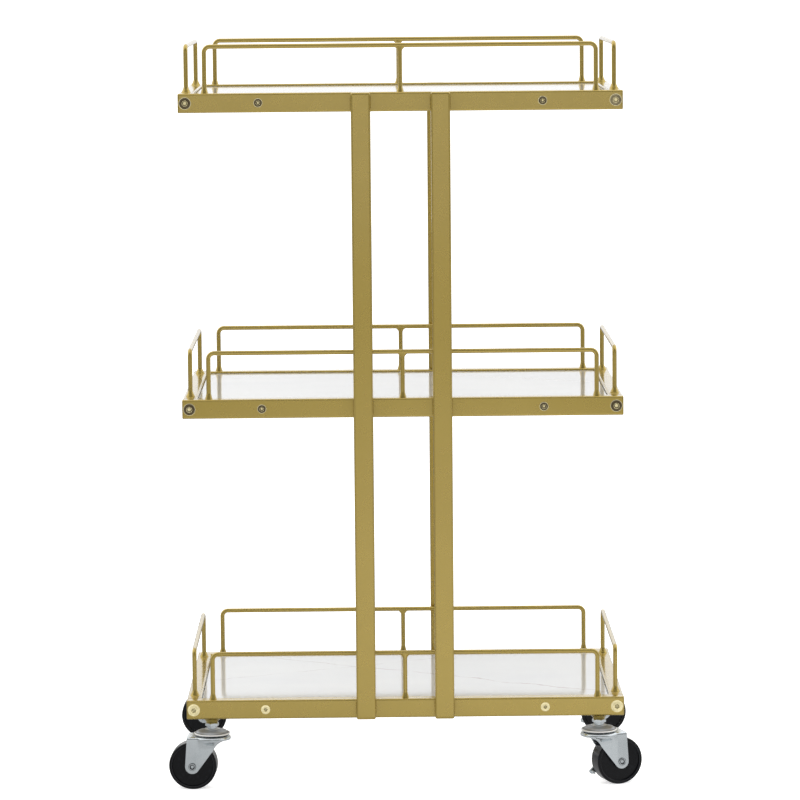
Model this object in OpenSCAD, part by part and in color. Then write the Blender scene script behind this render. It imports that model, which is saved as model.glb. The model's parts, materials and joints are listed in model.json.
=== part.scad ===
// Three-tier bar cart on swivel casters.
// A front and a rear side frame, each of three long beams on two uprights, are
// bolted together by end beams and support bars. Three thin glossy panels drop in
// between the beams, bent wire guard rails stand on them, and four stem casters
// carry the cart. Two of the casters have a side brake lever.
// X runs along the shelves, Y from front to rear and Z up, in millimetres. The
// origin is on the floor under the middle of the cart.

/* [Frame] */
// Length of the shelves along X
shelf_length = 457; // [420:1:520]
// Depth over the front and rear uprights
cart_depth = 305; // [280:1:360]
// Height from one shelf to the next
shelf_pitch = 316; // [250:1:360]
// Height of a beam's section
beam_h = 20; // [20:0.5:24]
// Depth of a beam's section
beam_d = 15; // [15:0.5:18]
// Width of an upright
upright_w = 20; // [16:1:24]
// Depth of an upright, which stands proud of the beams
upright_d = 10; // [8:1:15]
// Distance of each upright from the middle of the cart
upright_x = 41; // [30:1:60]
// Wall of every tube
wall = 1.2; // [1:0.1:1.5]
// Outer corner radius of every tube
edge_r = 2; // [1.6:0.1:3]

/* [Guard rails] */
// Diameter of the bent wire
wire_d = 4.8; // [4:0.1:6]
// Height of the rails over the beams
rail_h = 50; // [40:1:60]
// Bend radius at the middle of the wire
bend_r = 6; // [5:0.5:10]
// Distance of a long rail's legs from the middle of the cart
long_leg_x = 201; // [180:1:205]
// Distance of an end rail's legs from the middle of the cart
end_leg_y = 112; // [90:1:115]
// Width of the weld under a long rail's leg
long_foot_d = 8.4; // [6:0.1:10]
// Width of the weld under an end rail's leg
end_foot_d = 11; // [6:0.1:12]
// Height of the welds under the legs
foot_h = 6; // [4:0.5:8]

/* [Shelves] */
// Thickness of a panel
panel_t = 4; // [3:0.5:4]
// Drop of a panel's face below the beams
panel_drop = 2; // [1:0.5:3]
// Gap all round a panel
panel_gap = 0.75; // [0.5:0.05:2]
// Distance of the support bars from the middle of the cart
support_x = 146; // [100:1:160]
// Width of a support bar
support_w = 12; // [10:1:20]

/* [Bolts] */
// Thread of the corner bolts
corner_bolt_d = 6; // [5:0.5:6]
// Head of the corner bolts
corner_head_d = 12.8; // [11:0.1:13]
// Thread of the support bolts
support_bolt_d = 5; // [4:0.5:5]
// Head of the support bolts
support_head_d = 9.5; // [8:0.1:10]

/* [Casters] */
// Diameter of a wheel
wheel_d = 50; // [48:1:52]
// Width of a wheel's tread
wheel_w = 20; // [18:1:22]
// Distance from the swivel axis back to the axle
trail = 20; // [18:0.5:22]
// Distance of the swivel axes from the middle of the cart
caster_x = 202.5; // [190:0.5:203]
// Width over the fork's two legs
fork_w = 29; // [29:0.5:32]
// Diameter of the swivel cap
swivel_cap_d = 37.4; // [36:0.2:39]
// Angle of the brake levers below level
brake_angle = 34; // [28:1:40]

/* [Hidden] */
$fn = 48;

gold = [0.66, 0.56, 0.32];
brass = [0.86, 0.78, 0.48];
marble = [0.95, 0.95, 0.95];
zinc = [0.74, 0.76, 0.78];
dark_steel = [0.5, 0.48, 0.46];
black = [0.09, 0.09, 0.1];

level_names = ["bottom", "middle", "top"];
side_names = ["front", "rear"];
end_names = ["left", "right"];
levels = [0, 1, 2];
sides = [-1, 1];

// Name of one of a pair: index 0 lies towards minus, index 1 towards plus
function of_pair(names, sign) = names[sign < 0 ? 0 : 1];
function at_level(level, sign, names, what) =
    str(level_names[level], "_", of_pair(names, sign), "_", what);
function at_corner(sx, sy, what) =
    str(of_pair(side_names, sy), "_", of_pair(end_names, sx), "_", what);

// Heights in a caster, from the floor up
axle_z = wheel_d / 2;
fork_plate_t = 2.5;
fork_plate_z = wheel_d + 3.5;
fork_plate_top = fork_plate_z + fork_plate_t;
cap_rim_z = fork_plate_top + 1.7;
cap_top = cap_rim_z + 5.3;
nut_h = 6.5;
insert_flange_h = 4.5;
frame_z = cap_top + nut_h + insert_flange_h;

// Frame
frame_top = frame_z + 2 * shelf_pitch + beam_h;
beam_face_y = cart_depth / 2 - upright_d;
beam_y = beam_face_y - beam_d / 2;
inner_y = beam_face_y - beam_d;
end_beam_x = shelf_length / 2 - beam_d / 2;
inner_x = shelf_length / 2 - beam_d;
upright_cap_t = 2.2;
function beam_mid_z(level) = frame_z + level * shelf_pitch + beam_h / 2;
function beam_top_z(level) = beam_mid_z(level) + beam_h / 2;

// Guard rails
rail_axis_h = rail_h - wire_d / 2;
post_d = wire_d - 0.2;

// Fasteners
hole_slack = 0.4;
thread_slack = 0.1;
insert_depth = 15;
corner_bolt_length = beam_d + insert_depth - 2;
support_bolt_length = beam_d + 10;
support_h = 2 * (beam_h / 2 - panel_drop - panel_t);
stud_d = 8;
stud_top = frame_z + 11;
insert_barrel_d = 11;
insert_flange_d = 14;
nut_across_flats = 13;
nut_collar_d = 10;
nut_collar_h = 2.8;

// Casters: index 0 of a corner's yaw list is the left end, index 1 the right
caster_y = beam_y;
front_yaw = [3, 19];
rear_yaw = [0, 0];
function yaw_at(sx, sy) = (sy < 0 ? front_yaw : rear_yaw)[sx < 0 ? 0 : 1];
// Heading of the trail, turned so that the near wheels face outwards
function heading(sx, sy) = sx > 0 ? yaw_at(sx, sy) : 180 - yaw_at(sx, sy);
fork_leg_t = 2;
fork_inner_w = fork_w - 2 * fork_leg_t;
fork_end_r = 7.5;
axle_d = 6;
axle_head_d = 8;
axle_head_h = 1.8;
lever_gap = 0.3;
lever_t = 2;
lever_hub_r = 7;
lever_root_w = 13;
lever_tip_w = 4;
lever_reach = 28.6;
shoe_gap = 0.5;
shoe_near_y = 9;
foot_tab_w = 3.6;

// ---- Shared shapes ----

module rounded_rect(w, h, r) {
    square([w - 2 * r, h], center = true);
    square([w, h - 2 * r], center = true);
    for (x = sides, y = sides)
        translate([x * (w / 2 - r), y * (h / 2 - r)])
            circle(r);
}

module tube_section(w, h) {
    difference() {
        rounded_rect(w, h, edge_r);
        rounded_rect(w - 2 * wall, h - 2 * wall, edge_r - wall);
    }
}

// Lays a shape that was drawn along Z so that it runs along X, with its x along Y
module along_x() {
    rotate([90, 0, 90])
        children();
}

// Lays a shape that was drawn along Z so that it runs along -Y
module along_y() {
    rotate([90, 0, 0])
        children();
}

module hole_along_y(d, length) {
    along_y()
        cylinder(d = d, h = length, center = true);
}

// Low domed head on a plain shank; the head's seat is at z = 0 and it faces +Z
module socket_bolt(thread_d, head_d, head_h, length, socket) {
    rim = 0.8;
    dome_h = head_h - rim;
    dome_r = (head_d * head_d / 4 + dome_h * dome_h) / (2 * dome_h);
    translate([0, 0, -length])
        cylinder(d = thread_d, h = length);
    difference() {
        intersection() {
            cylinder(d = head_d, h = head_h);
            translate([0, 0, head_h - dome_r])
                sphere(dome_r);
        }
        translate([0, 0, head_h - 2])
            cylinder(d = socket, h = 3, $fn = 6);
    }
}

// Concave weld that widens from the wire to foot_d where it meets the beam
module weld_foot(foot_d) {
    spread = (foot_d - wire_d) / 2;
    arc_r = (spread * spread + foot_h * foot_h) / (2 * spread);
    rotate_extrude()
        difference() {
            square([foot_d / 2, foot_h]);
            translate([wire_d / 2 + arc_r, foot_h])
                circle(arc_r, $fn = 96);
        }
}

// Wire bent down at both ends, standing on z = 0 along X
module bent_wire(half_span, foot_d) {
    for (sx = sides) {
        translate([sx * half_span, 0, 0]) {
            cylinder(d = wire_d, h = rail_axis_h - bend_r);
            weld_foot(foot_d);
        }
        mirror([sx < 0 ? 1 : 0, 0, 0])
            translate([half_span - bend_r, 0, rail_axis_h - bend_r])
                along_y()
                    rotate_extrude(angle = 90)
                        translate([bend_r, 0])
                            circle(d = wire_d);
    }
    translate([0, 0, rail_axis_h])
        along_x()
            cylinder(d = wire_d, h = 2 * (half_span - bend_r), center = true);
}

// ---- Frame ----

module upright(sx, sy) {
    color(gold)
        translate([sx * upright_x, sy * (beam_face_y + upright_d / 2), frame_z + upright_cap_t])
            linear_extrude(frame_top - frame_z - 2 * upright_cap_t)
                tube_section(upright_w, upright_d);
}

module upright_end_caps() {
    color(gold)
        for (sx = sides, sy = sides, z = [frame_z, frame_top - upright_cap_t])
            translate([sx * upright_x, sy * (beam_face_y + upright_d / 2), z])
                linear_extrude(upright_cap_t)
                    rounded_rect(upright_w, upright_d, edge_r);
}

module long_beam(level, sy) {
    color(gold)
        translate([0, sy * beam_y, beam_mid_z(level)])
            difference() {
                along_x()
                    linear_extrude(shelf_length - 2 * wall, center = true)
                        tube_section(beam_d, beam_h);
                for (sx = sides) {
                    translate([sx * end_beam_x, 0, 0])
                        hole_along_y(corner_bolt_d + hole_slack, beam_d + 2);
                    translate([sx * support_x, 0, 0])
                        hole_along_y(support_bolt_d + hole_slack, beam_d + 2);
                    if (level == 0)
                        translate([sx * caster_x, 0, -beam_h / 2 - 1])
                            cylinder(d = insert_barrel_d + thread_slack, h = wall + 2);
                }
            }
}

module beam_end_caps() {
    color(gold)
        for (level = levels, sy = sides, sx = sides)
            translate([sx * (shelf_length - wall) / 2, sy * beam_y, beam_mid_z(level)])
                along_x()
                    linear_extrude(wall, center = true)
                        rounded_rect(beam_d, beam_h, edge_r);
}

module end_beam(level, sx) {
    color(gold)
        translate([sx * end_beam_x, 0, beam_mid_z(level)])
            along_y()
                linear_extrude(2 * inner_y, center = true)
                    tube_section(beam_d, beam_h);
}

// Threaded blocks that close the ends of the end beams and take the corner bolts
module end_beam_inserts() {
    color(zinc)
        for (level = levels, sx = sides, sy = sides)
            translate([sx * end_beam_x, sy * (inner_y - insert_depth / 2), beam_mid_z(level)])
                difference() {
                    along_y()
                        linear_extrude(insert_depth, center = true)
                            rounded_rect(beam_d - 2 * wall, beam_h - 2 * wall, edge_r - wall + 0.2);
                    hole_along_y(corner_bolt_d + thread_slack, insert_depth + 2);
                }
}

// ---- Guard rails ----

module guard_rail(level, sy) {
    color(gold)
        translate([0, sy * beam_y, beam_top_z(level)])
            bent_wire(long_leg_x, long_foot_d);
}

module guard_rail_posts() {
    color(gold)
        for (level = levels, sy = sides)
            translate([0, sy * beam_y, beam_top_z(level)])
                difference() {
                    union() {
                        cylinder(d = post_d, h = rail_axis_h);
                        weld_foot(long_foot_d);
                    }
                    translate([0, 0, rail_axis_h])
                        along_x()
                            cylinder(d = wire_d, h = 4 * wire_d, center = true);
                }
}

module end_rail(level, sx) {
    color(gold)
        translate([sx * end_beam_x, 0, beam_top_z(level)])
            rotate([0, 0, 90])
                bent_wire(end_leg_y, end_foot_d);
}

// ---- Shelves ----

module panel(level) {
    color(marble)
        translate([0, 0, beam_top_z(level) - panel_drop - panel_t])
            linear_extrude(panel_t)
                rounded_rect(2 * (inner_x - panel_gap), 2 * (inner_y - panel_gap), 1);
}

module support_bars(level) {
    color(gold)
        for (sx = sides)
            translate([sx * support_x, 0, beam_mid_z(level)])
                difference() {
                    cube([support_w, 2 * inner_y, support_h], center = true);
                    for (sy = sides)
                        translate([0, sy * inner_y, 0])
                            hole_along_y(support_bolt_d + thread_slack, 24);
                }
}

// ---- Bolts ----

// Puts a bolt's seat on the outer face of each long beam at x = +-offset
module on_beam_faces(offset) {
    for (level = levels, sy = sides, sx = sides)
        translate([sx * offset, sy * beam_face_y, beam_mid_z(level)])
            rotate([sy < 0 ? 90 : -90, 0, 0])
                children();
}

module corner_bolts() {
    color(brass)
        on_beam_faces(end_beam_x)
            socket_bolt(corner_bolt_d, corner_head_d, 3.2, corner_bolt_length, 4.6);
}

module support_bolts() {
    color(brass)
        on_beam_faces(support_x)
            socket_bolt(support_bolt_d, support_head_d, 2.7, support_bolt_length, 3.5);
}

// ---- Fixed half of the casters ----

module at_casters() {
    for (sx = sides, sy = sides)
        translate([sx * caster_x, sy * caster_y, 0])
            children();
}

// Flanged threaded inserts in the underside of the lowest beams
module caster_inserts() {
    color(gold)
        at_casters()
            difference() {
                union() {
                    translate([0, 0, frame_z - insert_flange_h])
                        cylinder(d = insert_flange_d, h = insert_flange_h);
                    translate([0, 0, frame_z])
                        cylinder(d = insert_barrel_d, h = 13);
                }
                translate([0, 0, frame_z - insert_flange_h - 1])
                    cylinder(d = stud_d + thread_slack, h = 20);
            }
}

// Threaded stem whose lower end is the swivel's kingpin
module caster_studs() {
    head_h = 2.2;
    color(zinc)
        at_casters() {
            translate([0, 0, fork_plate_z - 0.3 - head_h])
                cylinder(d = 13, h = head_h);
            translate([0, 0, fork_plate_z - 0.3])
                cylinder(d = stud_d, h = stud_top - fork_plate_z + 0.3);
        }
}

// Hexagon nuts on a round collar
module caster_nuts() {
    color(zinc)
        at_casters()
            translate([0, 0, cap_top])
                difference() {
                    union() {
                        cylinder(d = nut_collar_d, h = nut_h);
                        translate([0, 0, nut_collar_h])
                            cylinder(
                                d = nut_across_flats / cos(30), h = nut_h - nut_collar_h, $fn = 6
                            );
                    }
                    translate([0, 0, -1])
                        cylinder(d = stud_d + thread_slack, h = nut_h + 2);
                }
}

module swivel_caps() {
    bore_r = (stud_d + thread_slack) / 2;
    rim_r = swivel_cap_d / 2;
    sheet = 1.6;
    color(dark_steel)
        at_casters()
            rotate_extrude()
                polygon([
                    [bore_r, cap_top - sheet], [8.5, cap_top - sheet], [15, cap_top - sheet - 1.8],
                    [rim_r, cap_rim_z], [rim_r, cap_rim_z + sheet],
                    [15, cap_top - 1.8], [8.5, cap_top], [bore_r, cap_top]
                ]);
}

// Caged ball ring between the swivel cap and the fork
module swivel_bearings() {
    ring_r = 12;
    ball_d = 3;
    ball_z = fork_plate_top + 0.4 + ball_d / 2;
    color(zinc)
        at_casters() {
            translate([0, 0, ball_z - 0.5])
                difference() {
                    cylinder(r = ring_r + 1.2, h = 1);
                    translate([0, 0, -1])
                        cylinder(r = ring_r - 1.2, h = 3);
                }
            for (turn = [0:45:315])
                rotate([0, 0, turn])
                    translate([ring_r, 0, ball_z])
                        sphere(d = ball_d);
        }
}

// ---- Turning half of the casters ----
// These are drawn on the swivel axis with the wheel towards +X, then placed.

module at_caster(sx, sy) {
    translate([sx * caster_x, sy * caster_y, 0])
        rotate([0, 0, heading(sx, sy)])
            children();
}

// Turns a flat outline in x and z into a plate from y0 to y0 + t
module upright_plate(y0, t) {
    translate([0, y0 + t, 0])
        along_y()
            linear_extrude(t)
                children();
}

// Leg in x and z: broad under the fork plate, round about the axle
module fork_leg_outline() {
    back_x = trail + 5.5;
    nose_x = -14;
    throat = [-17, axle_z + 11];
    difference() {
        union() {
            translate([trail, axle_z])
                circle(fork_end_r);
            polygon([
                [trail + fork_end_r, axle_z], [back_x, fork_plate_z], [nose_x, fork_plate_z],
                [nose_x, axle_z + 22], [-2.2, axle_z + 17.4],
                [trail - 6.12, axle_z - 4.33], [trail, axle_z]
            ]);
        }
        translate(throat)
            circle(16);
        translate([trail, axle_z])
            circle(d = axle_d + thread_slack);
    }
}

module fork(sx, sy) {
    color(zinc)
        at_caster(sx, sy) {
            difference() {
                union() {
                    translate([0, 0, fork_plate_z])
                        cylinder(r = 19.5, h = fork_plate_t);
                    translate([0, -fork_w / 2, fork_plate_z])
                        cube([trail + 5.5, fork_w, fork_plate_t]);
                }
                translate([0, 0, fork_plate_z - 1])
                    cylinder(d = stud_d + 0.16, h = fork_plate_t + 2);
            }
            for (y0 = [-fork_w / 2, fork_inner_w / 2])
                upright_plate(y0, fork_leg_t)
                    fork_leg_outline();
        }
}

// The brake casters' levers sit under the far head of the axle
function has_brake(sx) = sx > 0;
function axle_far_y(sx) = fork_w / 2 + (has_brake(sx) ? 2 * lever_gap + lever_t : 0);

module axle(sx, sy) {
    near_y = -fork_w / 2;
    far_y = axle_far_y(sx);
    color(zinc)
        at_caster(sx, sy)
            translate([trail, 0, axle_z])
                rotate([-90, 0, 0]) {
                    translate([0, 0, near_y])
                        cylinder(d = axle_d, h = far_y - near_y);
                    translate([0, 0, near_y - axle_head_h])
                        cylinder(d = axle_head_d, h = axle_head_h);
                    translate([0, 0, far_y])
                        cylinder(d = axle_head_d, h = axle_head_h);
                }
}

module wheel(sx, sy) {
    r = wheel_d / 2;
    half = wheel_w / 2;
    bore_r = axle_d / 2 + 0.1;
    hub_half = fork_inner_w / 2 - 0.5;
    // One side of the section, from the bore out to the tread
    section = [
        [bore_r, hub_half], [7.5, hub_half], [8.5, half - 3], [r - 4, half - 3],
        [r - 3.5, half], [r - 1.5, half], [r, half - 2]
    ];
    other_side = [for (i = [len(section) - 1:-1:0]) [section[i].x, -section[i].y]];
    color(black)
        at_caster(sx, sy)
            translate([trail, 0, axle_z])
                rotate([-90, 0, 0])
                    rotate_extrude()
                        polygon(concat(section, other_side));
}

// Side lever on the axle: an arm, a shoe over the tread and a foot tab
module brake_lever(sx, sy) {
    arm_y = fork_w / 2 + lever_gap;
    shoe_x = wheel_d / 2 + shoe_gap;
    root = lever_root_w / 2;
    tip = lever_tip_w / 2;
    color(zinc)
        at_caster(sx, sy)
            translate([trail, 0, axle_z])
                rotate([0, 180 - brake_angle, 0])
                    mirror([0, 0, 1]) {
                        upright_plate(arm_y, lever_t)
                            difference() {
                                union() {
                                    circle(lever_hub_r);
                                    polygon([
                                        [0, root], [lever_reach, tip], [lever_reach, -tip], [0, -root]
                                    ]);
                                }
                                circle(d = axle_d + 0.2);
                            }
                        translate([shoe_x, shoe_near_y, -tip])
                            cube([lever_t, arm_y + lever_t - shoe_near_y, lever_tip_w]);
                        translate([lever_reach - lever_t, arm_y, -tip])
                            cube([lever_t, foot_tab_w, lever_tip_w]);
                    }
}

// ---- Nodes ----

for (sy = sides, sx = sides)
    upright(sx, sy);
upright_end_caps();
for (level = levels, sy = sides)
    long_beam(level, sy);
beam_end_caps();
for (level = levels, sx = sides)
    end_beam(level, sx);
end_beam_inserts();
for (level = levels, sy = sides)
    guard_rail(level, sy);
guard_rail_posts();
for (level = levels, sx = sides)
    end_rail(level, sx);
for (level = levels)
    panel(level);
for (level = levels)
    support_bars(level);
corner_bolts();
support_bolts();
caster_inserts();
caster_studs();
caster_nuts();
swivel_caps();
swivel_bearings();
for (sy = sides, sx = sides)
    fork(sx, sy);
for (sy = sides, sx = sides)
    axle(sx, sy);
for (sy = sides, sx = sides)
    wheel(sx, sy);
for (sy = sides)
    brake_lever(1, sy);
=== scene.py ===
"""Looks of a three-tier bar cart on swivel casters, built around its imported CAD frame.

Sizes and places are in millimetres unless they come straight from Blender, and most are
read from the boxes of the CAD nodes that the pieces stand for.
"""
import json
import math
from collections import namedtuple
from itertools import product

import bmesh
import bpy
from mathutils import Matrix, Vector, noise

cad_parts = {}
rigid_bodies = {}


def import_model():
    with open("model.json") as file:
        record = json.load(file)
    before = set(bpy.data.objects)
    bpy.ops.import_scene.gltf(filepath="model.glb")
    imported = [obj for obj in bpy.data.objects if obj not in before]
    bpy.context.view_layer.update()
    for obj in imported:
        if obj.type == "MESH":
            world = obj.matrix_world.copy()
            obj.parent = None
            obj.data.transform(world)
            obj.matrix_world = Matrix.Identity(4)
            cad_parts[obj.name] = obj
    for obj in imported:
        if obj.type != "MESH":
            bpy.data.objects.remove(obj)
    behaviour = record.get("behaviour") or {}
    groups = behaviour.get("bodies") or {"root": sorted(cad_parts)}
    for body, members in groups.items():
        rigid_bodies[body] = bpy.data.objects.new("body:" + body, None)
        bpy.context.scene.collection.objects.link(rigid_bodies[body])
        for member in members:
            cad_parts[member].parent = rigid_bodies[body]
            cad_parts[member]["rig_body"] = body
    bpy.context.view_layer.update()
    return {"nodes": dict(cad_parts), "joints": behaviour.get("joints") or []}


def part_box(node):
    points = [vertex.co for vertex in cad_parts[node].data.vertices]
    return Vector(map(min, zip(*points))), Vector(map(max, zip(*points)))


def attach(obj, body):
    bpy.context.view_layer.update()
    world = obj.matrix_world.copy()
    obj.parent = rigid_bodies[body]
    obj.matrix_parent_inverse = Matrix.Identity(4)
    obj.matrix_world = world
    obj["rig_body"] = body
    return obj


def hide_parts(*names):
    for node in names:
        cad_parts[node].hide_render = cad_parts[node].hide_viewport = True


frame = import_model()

MM = 0.001
LEVELS = ("bottom", "middle", "top")
SIDES = ("front", "rear")
ENDS = ("left", "right")
CORNERS = [f"{side}_{end}" for side, end in product(SIDES, ENDS)]
# Which way each side faces along Y, and the two ends along X
FACING = {"front": -1, "rear": 1}
BOTH_ENDS = (-1, 1)

# Steel tube
TUBE_R = 2.0
SEAM = 0.2
# Bent wire
WIRE_R = 2.4
BEND_R = 6.0
FOOT_H = 6.0
# Flat bars under the panels
SUPPORT_W = 12.0
# Bolts: diameters of thread and head, head height, width of the socket, length under the head
Bolt = namedtuple("Bolt", "thread head head_h socket length")
CORNER_BOLT = Bolt(6.0, 12.8, 3.2, 4.6, 28.0)
SUPPORT_BOLT = Bolt(5.0, 9.5, 2.7, 3.5, 25.0)
# Casters: bores of the threaded parts and of the sheet parts, outside of the fork's legs, sheet
THREAD_BORE_R = 4.05
PLATE_BORE_R = 4.1
FORK_SIDE = 14.5
FORK_SHEET = 2.0
# Brake levers: both faces of the arm, the axle's head beside it, and the tip's fall below level
ARM_NEAR = 14.8
ARM_FAR = 16.8
BRAKE_HEAD = 17.1
LEVER_DROP = math.radians(34)
# Height of the reflection tent, and half its width, in metres
TENT = 8.0


# ---- meshes

class Shape:
    """Points and faces of one piece, gathered as rings that are joined to each other."""

    def __init__(self):
        self.points = []
        self.faces = []

    def ring(self, points):
        first = len(self.points)
        self.points.extend(Vector(p) for p in points)
        return list(range(first, len(self.points)))

    def bridge(self, a, b):
        for i in range(len(a)):
            j = (i + 1) % len(a)
            self.faces.append((a[i], a[j], b[j], b[i]))

    def loft(self, rings, closed=False):
        """Joins each ring to the next. A closed loft also joins the last to the first."""
        ids = [self.ring(r) for r in rings]
        for a, b in zip(ids, ids[1:]):
            self.bridge(a, b)
        if closed:
            self.bridge(ids[-1], ids[0])
        else:
            self.faces.append(tuple(reversed(ids[0])))
            self.faces.append(tuple(ids[-1]))

    def mesh(self, name):
        """A Blender mesh in metres, with its faces turned outwards."""
        data = bpy.data.meshes.new(name)
        data.from_pydata([p * MM for p in self.points], [], self.faces)
        bm = bmesh.new()
        bm.from_mesh(data)
        bmesh.ops.recalc_face_normals(bm, faces=bm.faces)
        bm.to_mesh(data)
        bm.free()
        return data


def moved(points, matrix):
    return [matrix @ Vector(p) for p in points]


def circle(radius, z, steps=48):
    turns = [math.tau * i / steps for i in range(steps)]
    return [(radius * math.cos(t), radius * math.sin(t), z) for t in turns]


def hexagon(across_flats, z, steps=48):
    """A hexagon with as many points as a circle, so that the two can be joined."""
    points = []
    for i in range(steps):
        turn = math.tau * i / steps
        off_flat = (turn % (math.pi / 3)) - math.pi / 6
        radius = across_flats / 2 / math.cos(off_flat)
        points.append((radius * math.cos(turn), radius * math.sin(turn), z))
    return points


def rounded_outline(width, height, radius, steps=5):
    """Points round a rectangle with rounded corners, counter-clockwise."""
    points = []
    signs = ((1, 1), (-1, 1), (-1, -1), (1, -1))
    for corner, (sx, sy) in enumerate(signs):
        for k in range(steps + 1):
            turn = math.radians(90 * (corner + k / steps))
            points.append((sx * (width / 2 - radius) + radius * math.cos(turn),
                           sy * (height / 2 - radius) + radius * math.sin(turn)))
    return points


def bar_rings(width, height, edge_r, start, end, start_r, end_r, steps=4):
    """Rings of a rounded bar along Z whose two ends are rounded by their own radii."""
    rings = []
    for k in range(steps + 1):
        turn = math.radians(90 * k / steps)
        inset = start_r * (1 - math.sin(turn))
        rings.append((inset, start + start_r * (1 - math.cos(turn))))
    for k in range(steps, -1, -1):
        turn = math.radians(90 * k / steps)
        inset = end_r * (1 - math.sin(turn))
        rings.append((inset, end - end_r * (1 - math.cos(turn))))
    out = []
    for inset, z in rings:
        corner_r = max(edge_r - inset, 0.1)
        outline = rounded_outline(width - 2 * inset, height - 2 * inset, corner_r)
        out.append([(x, y, z) for x, y in outline])
    return out


def lathe(shape, profile, matrix, steps, closed=True):
    """Turns a profile of (radius, height) points round the Z axis of the matrix."""
    shape.loft([moved(circle(r, z, steps), matrix) for r, z in profile], closed)


def arc(cx, cy, radius, start, end, steps):
    """Points on an arc from one angle to another, in degrees."""
    turns = [math.radians(start + (end - start) * k / steps) for k in range(steps + 1)]
    return [(cx + radius * math.cos(t), cy + radius * math.sin(t)) for t in turns]


def sweep(shape, path, section_at, place):
    """Sweeps a section along a flat path of (p, q) points.

    section_at(i) gives points (across the path, out of its plane), and place(p, q, out)
    turns a point of the path's plane into a place in the piece.
    """
    rings = []
    for i, (p, q) in enumerate(path):
        ahead = path[min(i + 1, len(path) - 1)]
        behind = path[max(i - 1, 0)]
        along = Vector((ahead[0] - behind[0], ahead[1] - behind[1])).normalized()
        rings.append([place(p - s * along.y, q + s * along.x, t) for s, t in section_at(i)])
    shape.loft(rings)


def smooth(obj):
    """Smooth shading with sharp edges kept, and flat faces that stay flat."""
    sharp_turn = math.radians(38)
    bm = bmesh.new()
    bm.from_mesh(obj.data)
    for face in bm.faces:
        face.smooth = True
    for edge in bm.edges:
        if len(edge.link_faces) == 2:
            edge.smooth = edge.calc_face_angle(0) < sharp_turn
    bm.to_mesh(obj.data)
    bm.free()
    weighted = obj.modifiers.new("weighted normals", "WEIGHTED_NORMAL")
    weighted.keep_sharp = True


def stand_for(node, mesh, material):
    """Makes the piece of a mesh, which takes the place of a CAD node on its body."""
    obj = bpy.data.objects.new("fine_" + node, mesh)
    bpy.context.scene.collection.objects.link(obj)
    obj.data.materials.append(material)
    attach(obj, frame["nodes"][node]["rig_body"])
    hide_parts(node)
    return obj


Box = namedtuple("Box", "low high middle size")


def box_mm(node):
    """Box of a CAD node, in millimetres."""
    low, high = (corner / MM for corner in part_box(node))
    return Box(low, high, (low + high) / 2, high - low)


# ---- frame

def axis_matrix(axis, middle):
    """Turns Z into the X, Y or Z axis and moves the origin to the middle."""
    turn = {
        "x": Matrix(((0, 0, 1), (1, 0, 0), (0, 1, 0))),
        "y": Matrix(((1, 0, 0), (0, 0, 1), (0, 1, 0))),
        "z": Matrix.Identity(3),
    }[axis]
    return Matrix.Translation(middle) @ turn.to_4x4()


def tube_shape(node, axis):
    """Rounded tube that fills a node's box, with narrow seams at its ends."""
    shape = Shape()
    box = box_mm(node)
    size = box.size
    width, height, length = {
        "x": (size.y, size.z, size.x),
        "y": (size.x, size.z, size.y),
        "z": (size.x, size.y, size.z),
    }[axis]
    rings = bar_rings(width, height, TUBE_R, -length / 2, length / 2, SEAM, SEAM)
    matrix = axis_matrix(axis, box.middle)
    shape.loft([moved(r, matrix) for r in rings])
    return shape


def cap_rings(width, height, outer, inner):
    """Rings of an end cap from its outer face, which is rounded, to its seam."""
    thickness = abs(inner - outer)
    outer_r = min(TUBE_R, thickness - SEAM)
    if outer < inner:
        return bar_rings(width, height, TUBE_R, outer, inner, outer_r, SEAM)
    return bar_rings(width, height, TUBE_R, inner, outer, SEAM, outer_r)


def weld_bead(shape, start, end, radius, seed):
    """Rippled weld bead, whose ends taper and which wanders a little from its line."""
    steps = 36
    ripples = 9
    tapered = 0.12
    thinnest = 0.05
    along = end - start
    rings = []
    for i in range(steps + 1):
        share = i / steps
        taper = math.sin(math.pi * min(share, 1 - share, tapered) / (2 * tapered)) ** 0.5
        ripple = 1 + 0.10 * abs(math.sin(math.pi * share * ripples))
        wander = noise.noise(Vector((share * 6, seed * 3.7, 0))) * 0.25
        place = Matrix.Translation(start + along * share + Vector((wander, 0, 0)))
        rings.append(moved(circle(max(radius * taper * ripple, thinnest), 0, 12), place))
    shape.loft(rings)


def upright_welds(shape, upright, seed):
    """Beads down both edges of an upright, where it crosses the beams."""
    bead_r, inset, sunk, end_gap = 1.15, 0.5, 0.35, 1.5
    outward = math.copysign(1, upright.middle.y)
    y = upright.middle.y - outward * upright.size.y / 2 + outward * sunk
    for number, level in enumerate(LEVELS):
        beam = box_mm(f"{level}_front_beam")
        low_z = max(beam.low.z, upright.low.z) + end_gap
        high_z = min(beam.high.z, upright.high.z) - end_gap
        for sx in BOTH_ENDS:
            x = upright.middle.x + sx * (upright.size.x / 2 - inset)
            start, end = Vector((x, y, low_z)), Vector((x, y, high_z))
            weld_bead(shape, start, end, bead_r, seed + number * 2 + sx)


def make_uprights(gold):
    ends = box_mm("upright_end_caps")
    caps = Shape()
    for number, corner in enumerate(CORNERS):
        node = corner + "_upright"
        shape = tube_shape(node, "z")
        upright = box_mm(node)
        upright_welds(shape, upright, number * 10)
        stand_for(node, shape.mesh(node), gold)
        matrix = Matrix.Translation((upright.middle.x, upright.middle.y, 0))
        for outer, inner in ((ends.low.z, upright.low.z), (ends.high.z, upright.high.z)):
            rings = cap_rings(upright.size.x, upright.size.y, outer, inner)
            caps.loft([moved(r, matrix) for r in rings])
    stand_for("upright_end_caps", caps.mesh("upright_end_caps"), gold)


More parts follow.
